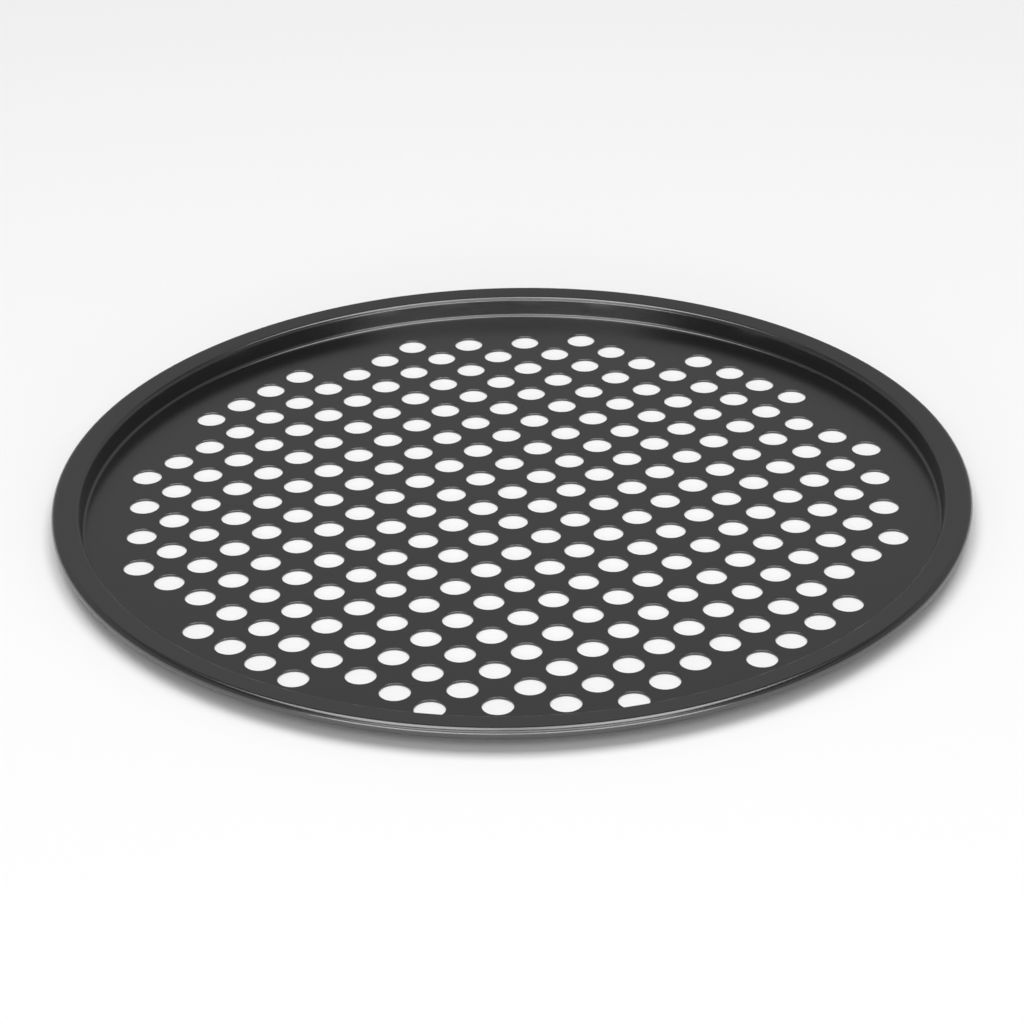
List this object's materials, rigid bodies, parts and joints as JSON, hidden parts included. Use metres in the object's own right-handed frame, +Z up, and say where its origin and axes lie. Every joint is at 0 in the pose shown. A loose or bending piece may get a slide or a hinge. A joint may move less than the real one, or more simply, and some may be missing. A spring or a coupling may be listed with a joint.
{
  "type": "perforated pizza pan",
  "caption": "Round pizza pan of coated sheet steel with a perforated floor, a shallow upright wall, a flat rim and a rolled edge.",
  "frame": {"origin": "centre of the underside of the floor, which is the face the pan stands on", "axes": "+Z up along the pan's axis; +X and +Y lie in the floor, and the rows of holes run at 47 degrees to +X"},
  "size_m": [0.32, 0.32, 0.0091],
  "materials": {
    "coated_steel": "satin charcoal non-stick coating with a fine speckle, baked on sheet steel"
  },
  "bodies": {
    "root": {"pan": "coated_steel"}
  },
  "joints": []
}
